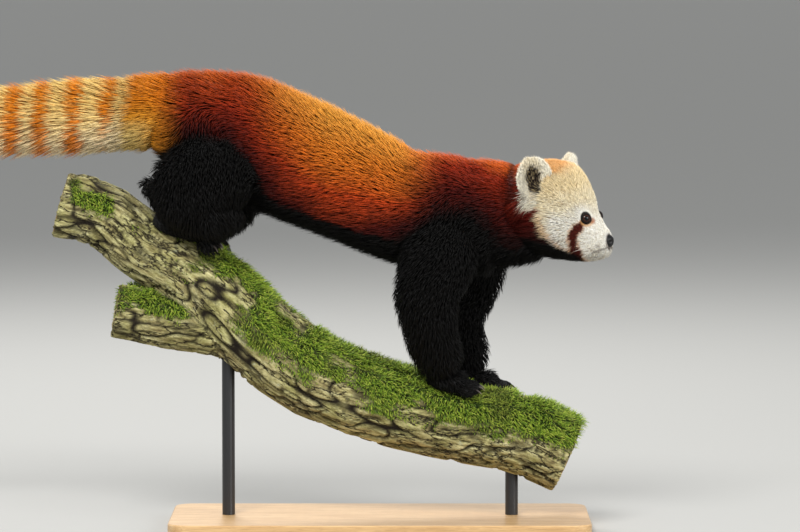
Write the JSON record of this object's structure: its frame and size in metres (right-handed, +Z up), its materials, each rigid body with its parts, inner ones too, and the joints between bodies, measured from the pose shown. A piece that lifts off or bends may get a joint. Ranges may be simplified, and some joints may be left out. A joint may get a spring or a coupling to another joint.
{
  "type": "red panda figure",
  "caption": "Life-size still red panda stepping down a cut length of mossy branch, held on a flat base by two short rods.",
  "frame": {"origin": "centre of the stand base's underside", "axes": "+Z up, +X the way the animal faces along the branch, +Y the animal's left side"},
  "size_m": [0.9494, 0.216, 0.574],
  "materials": {
    "coat": "long orange-brown hair",
    "black_coat": "black hair",
    "neck_coat": "red-brown hair",
    "face": "short cream hair",
    "ear": "short white hair",
    "light_ring": "long buff hair",
    "dark_ring": "long rust-red hair",
    "tail_tip": "long dark brown hair",
    "nose": "moist, fine grain",
    "eye": "clear gloss over dark brown",
    "bark": "rough bark with moss",
    "oak": "satin varnish",
    "steel": "satin black"
  },
  "bodies": {
    "root": {"torso": "coat", "neck": "neck_coat", "head": "face", "nose": "nose", "eye_left": "eye", "eye_right": "eye", "ear_left": "ear", "ear_right": "ear", "tail_root": "dark_ring", "tail_tip": "tail_tip", "perch_limb": "bark", "perch_fork": "bark", "stand_base": "oak", "stand_rod_rear": "steel", "stand_rod_front": "steel", "foreleg_left": "black_coat", "foreleg_right": "black_coat", "forepaw_left": "black_coat", "forepaw_right": "black_coat", "hindleg_left": "black_coat", "hindleg_right": "black_coat", "hindfoot_left": "black_coat", "hindfoot_right": "black_coat", "tail_light_ring_01": "light_ring", "tail_dark_ring_01": "dark_ring", "tail_light_ring_02": "light_ring", "tail_dark_ring_02": "dark_ring", "tail_light_ring_03": "light_ring", "tail_dark_ring_03": "dark_ring", "tail_light_ring_04": "light_ring", "tail_dark_ring_04": "dark_ring", "tail_light_ring_05": "light_ring", "tail_dark_ring_05": "dark_ring", "tail_light_ring_06": "light_ring", "tail_dark_ring_06": "dark_ring", "tail_light_ring_07": "light_ring", "tail_dark_ring_07": "dark_ring", "tail_light_ring_08": "light_ring", "tail_dark_ring_08": "dark_ring", "tail_light_ring_09": "light_ring", "tail_dark_ring_09": "dark_ring"}
  },
  "joints": []
}
